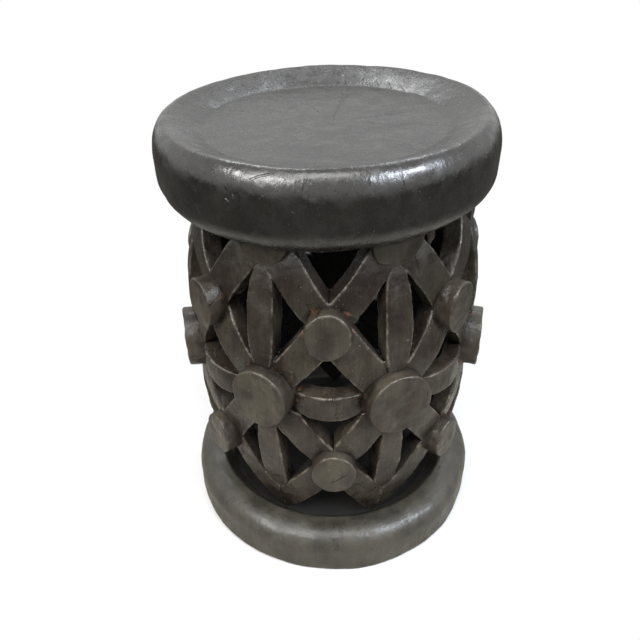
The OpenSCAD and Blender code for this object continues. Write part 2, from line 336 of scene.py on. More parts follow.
@dataclass
class Lattice:
    """The places of the drum's bosses, and the sizes that its bands share."""

    rows: dict[Row, list[BossPlace]]
    spider_r: float = 0.131
    band_r: float = 0.128
    band_w: float = 0.030
    wall_d: float = 0.016
    seat_z: float = 0.348
    slat_foot_z: float = 0.063
    rim_tab_r: float = 0.0215
    rim_tab_face: float = 0.125
    leg_bow: float = 0.006
    leaf_from_r: float = 0.06
    leaf_reach: float = 0.12

    @classmethod
    def of(cls, frame: dict[str, Any]) -> "Lattice":
        """Reads the rows of bosses from the frame."""
        numbers = range(1, COLUMNS + 1)
        return cls({row: [BossPlace.of(frame["nodes"][f"{row.value}_{i}"]) for i in numbers] for row in Row})

    def at(self, row: Row, i: int) -> BossPlace:
        """A boss, with its angle counted on round the drum without a jump at the back.

        Args:
            row: the row.
            i: its number, from 0. It may be below 0 or over 6.

        Returns:
            Its place.
        """
        place = self.rows[row][i % COLUMNS]
        near = (2 * i + (row is Row.SPIDER)) * math.pi / COLUMNS
        return replace(place, angle=place.angle + math.tau * round((near - place.angle) / math.tau))

    def tabs(self) -> list[BossPlace]:
        """The half bosses under the seat."""
        spiders = self.rows[Row.SPIDER]
        return [BossPlace(p.angle, self.seat_z, self.rim_tab_r, self.rim_tab_face) for p in spiders]

    def wall(
        self, left: Point2, right: Point2, low: Point2, high: Point2, bow: float, skew: Sequence[float] = ()
    ) -> Piece:
        """Part of the drum's wall, with a face that swells outwards. With a skew it is cut to a slanted band.

        Args:
            left: angle of its left end, and the height of the band there.
            right: angle of its right end, and the height of the band there.
            low: radius and height of its face where it ends below.
            high: radius and height of its face where it ends above.
            bow: how far its face swells between them.
            skew: how unevenly the band is cut, as in band_sides.

        Returns:
            The closed solid.
        """
        half_steps = 8
        shares = [i / half_steps for i in range(-half_steps, half_steps + 1)]
        face = [
            ((low[0] + high[0]) / 2 + (high[0] - low[0]) / 2 * u + bow * (1 - u * u),
             (low[1] + high[1]) / 2 + (high[1] - low[1]) / 2 * u)
            for u in shares
        ]
        section = face + [(r - self.wall_d, z) for r, z in reversed(face)]
        obj = Bench.start_line("wall", [radial(left[0]) * r + UP * z for r, z in section], closed=True)
        bpy.ops.mesh.spin(steps=14, angle=right[0] - left[0], center=(0, 0, 0), axis=-UP)
        Bench.close_up(obj)
        for point, normal in self.band_sides(left, right, skew) if skew else ():
            Bench.bisect(obj, point, normal)
        return obj

    def band_sides(
        self, left: Point2, right: Point2, skew: Sequence[float] = (0.0, 0.0, 0.0, 0.0)
    ) -> list[tuple[Vector, Vector]]:
        """The two planes along a slanted band's sides, upper first.

        Args:
            left: angle and height of its left end.
            right: angle and height of its right end.
            skew: how much wider than even it is cut above and below its left end, then its right.

        Returns:
            For each side a point on it and the direction out of the band.
        """
        mid = (left[0] + right[0]) / 2
        half_x = self.band_r * math.sin((right[0] - left[0]) / 2)
        start, end = Vector((-half_x, left[1])), Vector((half_x, right[1]))
        along = (end - start).normalized()
        across = Vector((-along.y, along.x))
        sides = []
        for sign, at_left, at_right in ((1, skew[0], skew[2]), (-1, skew[1], skew[3])):
            near = start + across * sign * (self.band_w / 2 + at_left)
            far = end + across * sign * (self.band_w / 2 + at_right)
            run = (far - near).normalized()
            out = tangent(mid) * -run.y * sign + UP * (run.x * sign)
            sides.append((tangent(mid) * near.x + UP * near.y, out))
        return sides

    def leaf(self, angle: float, centre: float, half: float, mid_w: float, end_w: float, level: bool) -> Piece:
        """A leaf-shaped prism that runs from near the axis out through the drum's wall.

        Args:
            angle: its angle.
            centre: height of its middle.
            half: half its length.
            mid_w: its width in the middle.
            end_w: its width at the ends.
            level: whether its length lies level, and not upright.

        Returns:
            The closed solid.
        """
        half_steps = 4
        shares = [i / half_steps for i in range(-half_steps, half_steps + 1)]
        right = [((end_w + (mid_w - end_w) * (1 - abs(u) ** 3)) / 2, half * u) for u in shares]
        outline = right + [(-x, z) for x, z in reversed(right)]
        if level:
            outline = [(-z, x) for x, z in outline]
        near = radial(angle) * self.leaf_from_r
        line = [near + tangent(angle) * x + UP * (centre + z) for x, z in outline]
        obj = Bench.start_line("leaf", line, closed=True)
        reach = radial(angle) * self.leaf_reach
        bpy.ops.mesh.extrude_region_move(TRANSFORM_OT_translate={"value": reach})
        return Bench.close_up(obj)


@dataclass(frozen=True)
class Finish:
    """One kind of worn, ebonised wood."""

    name: str
    slot: Slot
    stain: Colour
    rubbed: Colour
    pale: Colour
    raw: Colour
    edge_wear: float
    matte: float
    shine: float
    gloss: float
    raw_share: float = 0.0
    dents: float = 0.6
    fibre: float = 0.6


RIM_FINISH = Finish(
    "rim wood", Slot.RIM, stain=(0.0045, 0.0037, 0.0030), rubbed=(0.0110, 0.0089, 0.0070),
    pale=(0.10, 0.086, 0.070), raw=(0.11, 0.050, 0.026), edge_wear=0.22,
    matte=0.35, shine=0.21, dents=0.30, gloss=0.95,
)
BASE_FINISH = Finish(
    "base wood", Slot.RIM, stain=(0.030, 0.0265, 0.0200), rubbed=(0.060, 0.0535, 0.0410),
    pale=(0.15, 0.135, 0.108), raw=(0.16, 0.075, 0.04), edge_wear=0.30,
    matte=0.46, shine=0.31, dents=0.35, gloss=0.65,
)
BAND_FINISH = Finish(
    "band wood", Slot.BAND, stain=(0.024, 0.0165, 0.0125), rubbed=(0.054, 0.0455, 0.0325),
    pale=(0.26, 0.225, 0.18), raw=(0.19, 0.085, 0.042), edge_wear=0.62, raw_share=0.75,
    matte=0.42, shine=0.26, fibre=0.7, gloss=0.45,
)
BOSS_FINISH = Finish(
    "boss wood", Slot.BOSS, stain=(0.032, 0.0245, 0.0180), rubbed=(0.076, 0.0640, 0.0460),
    pale=(0.28, 0.245, 0.195), raw=(0.19, 0.086, 0.044), edge_wear=0.75, raw_share=0.55,
    matte=0.45, shine=0.30, fibre=0.55, gloss=0.5,
)


@dataclass(frozen=True)
class Score:
    """A thin cut or split in the wood, through a few points of the surface."""

    name: str
    width: float
    points: tuple[Point3, ...]


SCORES = (
    Score("rim gouge", 0.001, ((-0.0527, -0.1299, 0.4004), (-0.0472, -0.1303, 0.4029), (-0.0371, -0.1312, 0.4053))),
    Score("rim crack 1", 0.0005, ((0.0242, -0.1292, 0.4088), (0.0255, -0.1349, 0.4029), (0.0262, -0.1367, 0.3988))),
    Score("rim crack 2", 0.0005, ((0.0474, -0.1271, 0.4046), (0.0481, -0.1288, 0.4012), (0.0493, -0.1302, 0.3962))),
    Score("dish mark", 0.0009, ((-0.0008, -0.0070, 0.4010), (0.0017, -0.0097, 0.4010))),
    Score("dish crack 1", 0.0006, ((0.0319, 0.1078, 0.4099), (0.0328, 0.1022, 0.4075), (0.0342, 0.0878, 0.4053))),
    Score("dish crack 2", 0.0005, ((0.0415, 0.1046, 0.4105), (0.0432, 0.0977, 0.4075), (0.0453, 0.0832, 0.4054))),
    Score("dish crack 3", 0.0006, ((0.0526, 0.0977, 0.4102), (0.0551, 0.0899, 0.4074), (0.0580, 0.0766, 0.4051))),
    Score("dish crack 4", 0.0005, ((0.0633, 0.0870, 0.4089), (0.0666, 0.0801, 0.4069), (0.0700, 0.0655, 0.4051))),
    Score("arm crack", 0.0005, ((0.0637, -0.1055, 0.3308), (0.0676, -0.1067, 0.3177), (0.0731, -0.1047, 0.3003))),
    Score("boss split", 0.001, ((0.0008, -0.1433, 0.1195), (0.0150, -0.1433, 0.1290))),
)


@dataclass(frozen=True)
class Pattern:
    """A cloudy pattern in the wood: how fine it is, how it is stretched, and the range in which it shows."""

    scale: float
    detail: float
    rough: float
    stretch: Point3 = (1.0, 1.0, 1.0)
    shows: Point2 | None = None


FIBRE = Pattern(420.0, 4.0, 0.62, stretch=(1.0, 1.0, 0.07), shows=(0.32, 0.68))
PORE = Pattern(900.0, 1.0, 0.5, stretch=(1.0, 1.0, 0.16), shows=(0.70, 0.78))
BLOTCH = Pattern(38.0, 5.0, 0.6, stretch=(1.0, 1.0, 0.6), shows=(0.36, 0.66))
SHINE = Pattern(75.0, 6.0, 0.68, shows=(0.34, 0.66))
DENT = Pattern(160.0, 3.0, 0.5, stretch=(1.0, 1.0, 0.7))
CHECK_LINE = Pattern(16.0, 2.0, 0.5, stretch=(1.0, 0.7, 0.7))
CHECK_PLACE = Pattern(5.0, 2.0, 0.6, stretch=(1.0, 6.0, 6.0), shows=(0.55, 0.64))
SPECK = Pattern(520.0, 0.0, 0.5, shows=(0.80, 0.84))
RUBBED_PATCH = Pattern(90.0, 4.0, 0.65, shows=(0.42, 0.66))
BROKEN_PATCH = Pattern(70.0, 5.0, 0.75, shows=(0.52, 0.64))


class NodeSheet:
    """A node tree that is filled one node at a time."""

    def __init__(self, tree: bpy.types.NodeTree) -> None:
        """Opens an empty tree."""
        self.tree = tree
        self.tree.nodes.clear()

    @classmethod
    def group(cls, name: str, *numbers: str) -> tuple["NodeSheet", bpy.types.Node]:
        """Opens a node group that is given a point, and perhaps some numbers.

        Args:
            name: its name.
            numbers: name of each number.

        Returns:
            Its sheet, and the node that holds what it is given.
        """
        sheet = cls(bpy.data.node_groups.new(name, "ShaderNodeTree"))
        sheet.tree.interface.new_socket("Point", in_out="INPUT", socket_type="NodeSocketVector")
        for label in numbers:
            sheet.tree.interface.new_socket(label, in_out="INPUT", socket_type="NodeSocketFloat")
        return sheet, sheet.add("NodeGroupInput")

    def close(self, masks: dict[str, Socket]) -> bpy.types.NodeTree:
        """Ends a group with the masks it puts out.

        Args:
            masks: each mask by name.

        Returns:
            The group's tree.
        """
        for label in masks:
            self.tree.interface.new_socket(label, in_out="OUTPUT", socket_type="NodeSocketFloat")
        self.add("NodeGroupOutput", masks)
        return self.tree

    def feed(self, node: bpy.types.Node, inputs: dict[Any, Any]) -> None:
        """Links or sets a node's inputs.

        Args:
            node: the node.
            inputs: for each input by name or place, a socket to link from or a value to set.
        """
        for key, value in inputs.items():
            if isinstance(value, Socket):
                self.tree.links.new(value, node.inputs[key])
            else:
                node.inputs[key].default_value = value

    def add(self, kind: str, inputs: dict[Any, Any] | None = None, **settings: Any) -> bpy.types.Node:
        """Adds a node.

        Args:
            kind: the node's type name, without its ShaderNode prefix.
            inputs: for each input by name or place, a socket to link from or a value to set.
            settings: the node's own settings.

        Returns:
            The node.
        """
        node = self.tree.nodes.new(kind if kind.startswith("Node") else "ShaderNode" + kind)
        for key, value in settings.items():
            setattr(node, key, value)
        self.feed(node, inputs or {})
        return node

    def maths(self, way: str, first: Any, second: Any = 0.0, third: Any = 0.0) -> Socket:
        """The result of one sum on numbers or sockets."""
        return self.add("Math", {0: first, 1: second, 2: third}, operation=way).outputs[0]

    def times(self, first: Any, second: Any) -> Socket:
        """One number times another."""
        return self.maths("MULTIPLY", first, second)

    def most(self, first: Any, *others: Any) -> Socket:
        """The largest of some numbers."""
        for other in others:
            first = self.maths("MAXIMUM", first, other)
        return first

    def vector(self, way: str, inputs: dict[int, Any]) -> Socket:
        """The result of one sum on vectors."""
        gives_number = way in ("LENGTH", "DISTANCE", "DOT_PRODUCT")
        return self.add("VectorMath", inputs, operation=way).outputs["Value" if gives_number else "Vector"]

    def ramp(self, value: Any, low: float, high: float, to_low: float = 0.0, to_high: float = 1.0) -> Socket:
        """A value carried smoothly from one range into another."""
        ranges = {0: value, 1: low, 2: high, 3: to_low, 4: to_high}
        return self.add("MapRange", ranges, interpolation_type="SMOOTHSTEP").outputs[0]

    def blend(self, share: Any, first: Any, second: Any) -> Socket:
        """One colour mixed into another by a share."""
        mixed = [value if isinstance(value, Socket) else (*value, 1.0) for value in (first, second)]
        return self.add("Mix", {0: share, 6: mixed[0], 7: mixed[1]}, data_type="RGBA").outputs[2]

    def noise(self, point: Socket, kind: Pattern) -> Socket:
        """A pattern at a point, whole or in the range in which it shows.

        Args:
            point: the point.
            kind: the pattern.

        Returns:
            The pattern as a number, or as a mask where it has a range.
        """
        spot = self.vector("MULTIPLY", {0: point, 1: kind.stretch})
        inputs = {"Vector": spot, "Scale": kind.scale, "Detail": kind.detail, "Roughness": kind.rough}
        cloud = self.add("TexNoise", inputs).outputs["Fac"]
        return self.ramp(cloud, *kind.shows) if kind.shows else cloud


@dataclass
class WoodShop:
    """Builds the shared node groups once, and a material from each finish.

    A range runs from where a mask starts to where it is full. The wall's ranges also say what they give there.
    """

    # Darkens pores, cracks and cuts, and is also the colour of the painted shade in creases, notches and under the
    # seat.
    dirt_and_shade: Colour = (0.006, 0.005, 0.004)
    # Colour and share of the painted shade that blacks out the drum's inside.
    hollow: Colour = (0.0015, 0.0010, 0.0007)
    painted_shade_inside_share: float = 0.93
    # Strength of the painted shade in the notches between members.
    notch_shade_share: float = 0.8
    # Strength of the painted shadow of the seat on the drum.
    seat_shadow_share: float = 0.42
    pore_share: float = 0.6
    speck_share: float = 0.5
    fibre_contrast: float = 0.5
    raw_rough: float = 0.3
    dent_depth: float = 0.0011
    fibre_depth: float = 0.00012
    pore_depth: float = 0.00022
    cut_depth: float = 0.0005
    check_width: Point2 = (0.006, 0.002)
    cut_core: float = 0.3
    worn_edge: Point2 = (0.25, 0.8)
    # Range of concave bend over which creases are painted darker as shade.
    crease_shade_range: Point2 = (-0.1, -0.6)
    raw_notch: Point2 = (0.50, 0.85)
    # Range of the notch mask over which notches are painted darker as shade.
    notch_shade_range: Point2 = (0.25, 0.9)
    under_seat_z: Point2 = (0.385, 0.370)
    # Heights over which the drum is painted darker towards the seat, as its shadow.
    seat_shadow_z: Point2 = (0.245, 0.325)
    # Where the drum's inside is painted near black as shade: the wall's radius by height, how far inside it, and
    # the base ring's throat.
    wall_waist: tuple[float, ...] = (0.36, 0.24, 0.100, 0.131)
    wall_foot: tuple[float, ...] = (0.12, 0.03, 0.0, 0.022)
    hollow_depth: Point2 = (0.004, 0.013)
    throat_r: Point2 = (0.1175, 0.1085)
    throat_z: Point2 = (0.052, 0.044)

    def __post_init__(self) -> None:
        """Builds the groups."""
        self.groups = (self._grain(), self._patina(), self._checks(), self._scores(), self._wear())

    def _grain(self) -> bpy.types.NodeTree:
        """Upright fibres and pores of the log. On level faces they are cut across and show as fine specks."""
        sheet, given = NodeSheet.group("log grain")
        point = given.outputs["Point"]
        return sheet.close({"Fibre": sheet.noise(point, FIBRE), "Pore": sheet.noise(point, PORE)})

    def _patina(self) -> bpy.types.NodeTree:
        """Blotches of stain, patches rubbed to a shine and the shallow dents of the tools."""
        sheet, given = NodeSheet.group("patina")
        kinds = {"Blotch": BLOTCH, "Shine": SHINE, "Dent": DENT}
        return sheet.close({name: sheet.noise(given.outputs["Point"], kind) for name, kind in kinds.items()})

    def _checks(self) -> bpy.types.NodeTree:
        """Fine seasoning cracks that run outwards from the log's heart, and pale specks."""
        sheet, given = NodeSheet.group("checks")
        point = given.outputs["Point"]
        at = sheet.add("SeparateXYZ", {0: point}).outputs
        turn = sheet.maths("ARCTAN2", at["X"], at["Y"])
        away = sheet.vector("LENGTH", {0: point})
        line = sheet.add("CombineXYZ", {0: turn, 1: away, 2: at["Z"]}).outputs[0]
        middle = 0.5
        ridge = sheet.maths("ABSOLUTE", sheet.maths("SUBTRACT", sheet.noise(line, CHECK_LINE), middle))
        check = sheet.times(sheet.ramp(ridge, *self.check_width), sheet.noise(line, CHECK_PLACE))
        return sheet.close({"Check": check, "Speck": sheet.noise(point, SPECK)})

    def _scores(self) -> bpy.types.NodeTree:
        """Single cuts and splits, each a thin line through its points."""
        sheet, given = NodeSheet.group("scores")
        total: Any = 0.0
        legs = [(*leg, score.width) for score in SCORES for leg in zip(score.points, score.points[1:])]
        for first, last, width in legs:
            start, along = Vector(first), Vector(last) - Vector(first)
            arm = sheet.vector("SUBTRACT", {0: given.outputs["Point"], 1: start})
            share = sheet.vector("DOT_PRODUCT", {0: arm, 1: along / along.length_squared})
            share = sheet.maths("MINIMUM", sheet.most(share, 0.0), 1.0)
            foot = sheet.vector("SCALE", {0: along, 3: share})
            away = sheet.vector("DISTANCE", {0: arm, 1: foot})
            total = sheet.most(total, sheet.ramp(away, width, self.cut_core * width))
        return sheet.close({"Score": total})

    def _wear(self) -> bpy.types.NodeTree:
        """Pale rubbed edges, raw wood in notches, and painted shade in creases, notches, under the seat and in the
        drum.
        """
        sheet, given = NodeSheet.group("hand wear", "Edge", "Notch")
        point, edge, notch = (given.outputs[name] for name in ("Point", "Edge", "Notch"))
        worn = sheet.times(sheet.ramp(edge, *self.worn_edge), sheet.noise(point, RUBBED_PATCH))
        raw = sheet.times(sheet.ramp(notch, *self.raw_notch), sheet.noise(point, BROKEN_PATCH))
        at = sheet.add("SeparateXYZ", {0: point}).outputs
        flat = sheet.add("CombineXYZ", {0: at["X"], 1: at["Y"]}).outputs[0]
        away = sheet.vector("LENGTH", {0: flat})
        below = sheet.ramp(at["Z"], *self.under_seat_z)
        waist = sheet.ramp(at["Z"], *self.wall_waist)
        wall = sheet.maths("SUBTRACT", waist, sheet.ramp(at["Z"], *self.wall_foot))
        depth = sheet.ramp(sheet.maths("SUBTRACT", wall, away), *self.hollow_depth)
        throat = sheet.times(sheet.ramp(away, *self.throat_r), sheet.ramp(at["Z"], *self.throat_z))
        # Painted shade: the drum's inside below the seat, which is painted near black.
        inside = sheet.times(sheet.most(depth, throat), below)
        # Painted shade in the notches between members.
        notch_shade = sheet.times(sheet.ramp(notch, *self.notch_shade_range), self.notch_shade_share)
        # Painted shadow of the seat: darker upwards towards it.
        seat_shadow = sheet.times(sheet.times(sheet.ramp(at["Z"], *self.seat_shadow_z), below), self.seat_shadow_share)
        # All the painted shade: concave creases, notches and the seat's shadow.
        painted_shade = sheet.most(sheet.ramp(edge, *self.crease_shade_range), notch_shade, seat_shadow)
        return sheet.close({"Worn": worn, "Raw": raw, "PaintedShade": painted_shade, "Inside": inside})

    def material(self, finish: Finish) -> bpy.types.Material:
        """Builds the material of a finish.

        Args:
            finish: the finish.

        Returns:
            The material, which reads the piece's own edge and notch attributes.
        """
        made = bpy.data.materials.new(finish.name)
        made.use_nodes = True
        sheet = NodeSheet(made.node_tree)
        given = {"Point": sheet.add("TexCoord").outputs["Object"]}
        for name in ("Edge", "Notch"):
            given[name] = sheet.add("Attribute", attribute_name=name.lower()).outputs["Fac"]
        mask: dict[str, Socket] = {}
        for tree in self.groups:
            group = sheet.add("Group", node_tree=tree)
            sheet.feed(group, {name: given[name] for name in group.inputs.keys()})
            mask.update(group.outputs.items())

        contrast = self.fibre_contrast * finish.fibre
        fibre = sheet.maths("MULTIPLY_ADD", mask["Fibre"], contrast, 1 - contrast / 2)
        cut = sheet.most(mask["Check"], mask["Score"])
        # Pores, cracks and cuts darkened as dirt, together with the painted shade.
        marks_and_shade = sheet.most(mask["PaintedShade"], sheet.times(mask["Pore"], self.pore_share), cut)
        raw = sheet.times(mask["Raw"], finish.raw_share)
        colour = sheet.blend(mask["Blotch"], finish.stain, finish.rubbed)
        colour = sheet.vector("SCALE", {0: colour, 3: fibre})
        for share, over in (
            (sheet.times(mask["Worn"], finish.edge_wear), finish.pale),
            (sheet.times(mask["Speck"], self.speck_share), finish.pale),
            (marks_and_shade, self.dirt_and_shade),
            (raw, finish.raw),
            # Painted shade: the drum's inside painted near black.
            (sheet.times(mask["Inside"], self.painted_shade_inside_share), self.hollow),
        ):
            colour = sheet.blend(share, colour, over)
        rough = sheet.ramp(mask["Shine"], 0.0, 1.0, finish.matte, finish.shine)
        rough = sheet.most(mask["Inside"], sheet.maths("MULTIPLY_ADD", raw, self.raw_rough, rough))
        height = sheet.times(mask["Dent"], self.dent_depth * finish.dents)
        for share, rise in (
            (mask["Fibre"], self.fibre_depth * finish.fibre),
            (mask["Pore"], -self.pore_depth),
            (cut, -self.cut_depth),
        ):
            height = sheet.maths("MULTIPLY_ADD", share, rise, height)
        bump = sheet.add("Bump", {"Height": height, "Distance": 1.0, "Strength": 1.0}).outputs[0]
        shader = sheet.add("BsdfPrincipled", {"Base Color": colour, "Roughness": rough, "Normal": bump})
        shader.inputs["Specular IOR Level"].default_value = finish.gloss
        sheet.add("OutputMaterial", {"Surface": shader.outputs[0]})
        return made


@dataclass
class Carver:
    """Marks where wear and painted shade go on finished pieces, dresses them and hands them over to the frame."""

    lattice: Lattice
    full_bend: float = 500.0
    notch_w: float = 0.004
    notch_d: float = 0.008
    notch_from_r: float = 0.10

    def __post_init__(self) -> None:
        """Lists the bosses for their notches and makes the materials."""
        self.places = sum(self.lattice.rows.values(), []) + self.lattice.tabs()
        shop = WoodShop()
        finishes = (RIM_FINISH, BASE_FINISH, BAND_FINISH, BOSS_FINISH)
        self.materials = {finish.name: shop.material(finish) for finish in finishes}

    def hand_over(self, obj: Piece, nodes: Sequence[str], finish: Finish) -> None:
        """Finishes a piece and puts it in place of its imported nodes.

        Args:
            obj: the piece, with its place in its mesh.
            nodes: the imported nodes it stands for.
            finish: its finish.
        """
        self._mark(obj)
        Bench.pick(obj)
        bpy.ops.object.shade_smooth()
        obj.data.materials.clear()
        obj.data.materials.append(self.materials[finish.name])
        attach(obj, "root")
        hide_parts(*nodes)
        log.info("%s: %d faces", obj.name, len(obj.data.polygons))

    @staticmethod
    def _read(items: Any, name: str, width: int, kind: type = float) -> np.ndarray:
        """One property of all a mesh's points or edges, a row for each."""
        values = np.zeros(len(items) * width, kind)
        items.foreach_get(name, values)
        return values.reshape(-1, width)

    def _mark(self, obj: Piece) -> None:
        """Writes how sharp each point's edge is, and how near it lies to a boss, as attributes.

        Args:
            obj: the piece.
        """
        mesh, count = obj.data, len(obj.data.vertices)
        co = self._read(mesh.vertices, "co", 3)
        normal = self._read(mesh.vertex_normals, "vector", 3)
        a, b = self._read(mesh.edges, "vertices", 2, int).T
        degree = np.maximum(np.bincount(a, minlength=count) + np.bincount(b, minlength=count), 1)

        def mean(at_a: np.ndarray, at_b: np.ndarray) -> np.ndarray:
            """Mean over each point's edges of what the edge gives to its first and to its second point."""
            return (np.bincount(a, at_a, count) + np.bincount(b, at_b, count)) / degree

        length = np.linalg.norm(co[a] - co[b], axis=1)
        step = np.maximum(mean(length, length), 1e-5)
        around = np.stack([mean(co[b, k], co[a, k]) for k in range(3)], 1)
        # Twice the mean curvature, above 0 on an outer edge, and then smoothed over the neighbours.
        bend = -4 * ((around - co) * normal).sum(1) / step ** 2
        for _ in range(2):
            bend = (bend + mean(bend[b], bend[a])) / 2
        notch = np.zeros(count)
        for p in self.places:
            side, out = co @ np.array(tangent(p.angle)), co @ np.array(radial(p.angle))
            away = np.abs(np.hypot(side, co[:, 2] - p.height) - p.radius)
            sunk = np.clip((p.face - self.notch_w - out) / self.notch_d, 0, 1) * (out > self.notch_from_r)
            notch = np.maximum(notch, np.exp(-away / self.notch_w) * sunk)
        for name, values in (("edge", np.clip(bend / self.full_bend, -1, 1)), ("notch", notch)):
            attribute = mesh.attributes.new(name, "FLOAT", "POINT")
            attribute.data.foreach_set("value", values.astype(np.float32))


class Outline:
    """Radius and height of each point of an outline, which starts on the axis at height 0."""

    def __init__(self) -> None:
        """Sets the first point."""
        self.points: list[Point2] = [(0.0, 0.0)]

    def line(self, r: float, z: float, steps: int) -> None:
        """Draws a straight stretch to a radius and height."""
        r0, z0 = self.points[-1]
        self.points += [(r0 + (r - r0) * i / steps, z0 + (z - z0) * i / steps) for i in range(1, steps + 1)]

    def roll(self, r: float, z: float, width: float, height: float, start: float, steps: int) -> None:
        """Draws an anticlockwise quarter roll about a centre, from a direction in degrees above outwards."""
        turns = [math.radians(start + 90 * i / steps) for i in range(1, steps + 1)]
        self.points += [(r + width * math.cos(t), z + height * math.sin(t)) for t in turns]


@dataclass
class Seat:
    """The dished seat with its fat rolled rim."""

    radius: float = 0.1465
    thick: float = 0.067
    shoulder_h: float = 0.028
    belly_w: float = 0.022
    belly_h: float = 0.024
    crest_r: float = 0.132
    dish_r: float = 0.103
    dish_depth: float = 0.012
    dish_round: float = 1.15
    foot_w: float = 0.0012
    tilt_back: float = 2.0
    tilt_right: float = 1.0
    centre: Point3 = (-0.0045, 0.0045, 0.348)
    dents: tuple[Point2, ...] = ((0.055, 0.0022), (0.014, 0.0007))
    steps: int = 360

    def outline(self) -> list[Point2]:
        """Radius and height of the outline, from the middle of the underside to the middle of the dish."""
        draw, shoulder_z, floor_z = Outline(), self.thick - self.shoulder_h, self.thick - self.dish_depth
        draw.line(self.radius - self.belly_w, 0.0, steps=22)
        draw.roll(self.radius - self.belly_w, self.belly_h, self.belly_w, self.belly_h, start=-90, steps=18)
        draw.line(self.radius, shoulder_z, steps=6)
        draw.roll(self.crest_r, shoulder_z, self.radius - self.crest_r, self.shoulder_h, start=0, steps=22)
        slope = 14
        for share in (i / slope for i in range(1, slope + 1)):
            r = self.crest_r - (self.crest_r - self.dish_r) * share
            draw.points.append((r, self.thick - self.dish_depth * share ** self.dish_round))
        draw.line(self.dish_r - self.foot_w, floor_z, steps=1)
        draw.line(0.0, floor_z, steps=48)
        return draw.points

    def build(self) -> Piece:
        """Turns the seat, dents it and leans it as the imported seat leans."""
        obj = Bench.turned("carved_seat", self.outline(), self.steps)
        Bench.hand_cut(obj, self.dents, inward=1.0)
        lean = Matrix.Rotation(-math.radians(self.tilt_right), 4, "Y")
        lean = lean @ Matrix.Rotation(math.radians(self.tilt_back), 4, "X")
        Bench.place(obj, Matrix.Translation(Vector(self.centre)) @ lean)
        return obj


@dataclass
class BaseRing:
    """The rolled ring that the stool stands on, with its sunk floor."""

    radius: float = 0.1555
    height: float = 0.050
    shoulder: float = 0.022
    toe: float = 0.005
    hollow: float = 0.113
    throat_w: float = 0.012
    throat_h: float = 0.014
    floor_r: float = 0.103
    floor_z: float = 0.030
    dents: tuple[Point2, ...] = ((0.060, 0.0026), (0.016, 0.0008))
    steps: int = 360

    def outline(self) -> list[Point2]:
        """Radius and height of the outline, from the middle of the underside to the middle of the floor."""
        draw, shoulder_z = Outline(), self.height - self.shoulder
        draw.line(self.radius - self.toe, 0.0, steps=20)
        draw.roll(self.radius - self.toe, self.toe, self.toe, self.toe, start=-90, steps=5)
        draw.line(self.radius, shoulder_z, steps=12)
        draw.roll(self.radius - self.shoulder, shoulder_z, self.shoulder, self.shoulder, start=0, steps=20)
        draw.line(self.hollow + self.throat_w, self.height, steps=3)
        draw.line(self.hollow, self.height - self.throat_h, steps=6)
        draw.line(self.floor_r, self.floor_z, steps=4)
        draw.line(0.0, self.floor_z, steps=16)
        return draw.points

    def build(self) -> Piece:
        """Turns the ring and dents it."""
        obj = Bench.turned("carved_base_ring", self.outline(), self.steps)
        Bench.hand_cut(obj, self.dents, inward=1.0)
        return obj


ROW_STRETCH = {Row.UPPER: (0.88, 1.10), Row.SPIDER: (0.92, 1.03), Row.LOWER: (0.88, 1.02)}
OWN_STRETCH = {
    (Row.UPPER, 1): (0.89, 1.05),
    (Row.UPPER, 2): (0.86, 1.16),
    (Row.SPIDER, 1): (1.0, 1.05),
    (Row.SPIDER, 7): (0.88, 1.03),
    (Row.LOWER, 1): (0.95, 1.06),
}


@dataclass
class Bosses:
    """Round bosses that stand out of the drum, each cut by hand and so a little out of round."""

    bevel: float = 0.002
    bevel_rise: float = 0.8
    draught: float = 0.0002
    root: float = 0.113
    dents: tuple[Point2, ...] = ((0.017, 0.0024), (0.006, 0.0006))
    steps: int = 84

    def one(self, name: str, place: BossPlace, stretch: Point2 = (1.0, 1.0)) -> Piece:
        """Turns a boss about its own axis, cuts it out of round and lays it on its radius.

        Args:
            name: name of the new piece.
            place: where it sits.
            stretch: how much wider and higher than round it is.

        Returns:
            The piece.
        """
        draw, r, length = Outline(), place.radius, place.face - self.root
        draw.line(r - self.draught, 0.0, steps=6)
        draw.line(r, length - self.bevel, steps=14)
        draw.roll(r - self.bevel, length - self.bevel, self.bevel, self.bevel * self.bevel_rise, start=0, steps=5)
        draw.line(0.0, length, steps=12)
        obj = Bench.turned(name, draw.points, self.steps)
        lay = Matrix.Translation(UP * place.height + radial(place.angle) * self.root)
        lay = lay @ Matrix.Rotation(place.angle, 4, "Z") @ Matrix.Rotation(math.pi / 2, 4, "X")
        Bench.place(obj, lay @ Matrix.Diagonal((*stretch, 1.0, 1.0)))
        Bench.hand_cut(obj, self.dents)
        return obj

    def build(self, row: Row, number: int, place: BossPlace) -> Piece:
        """Builds one boss of a row, counted from 1."""
        return self.one(f"carved_{row.value}_{number}", place, OWN_STRETCH.get((row, number), ROW_STRETCH[row]))

    def build_tabs(self, name: str, places: Sequence[BossPlace]) -> Piece:
        """Builds a ring of half bosses as one piece. Their other halves lie inside the seat."""
        return Bench.join([self.one(f"{name}_{i}", place) for i, place in enumerate(places)], name)


OWN_SKEWS = {
    "rim_arms_1_left": (-0.001, 0.0, -0.003, 0.0),
    "rim_arms_1_right": (-0.002, 0.0, -0.008, 0.0),
}


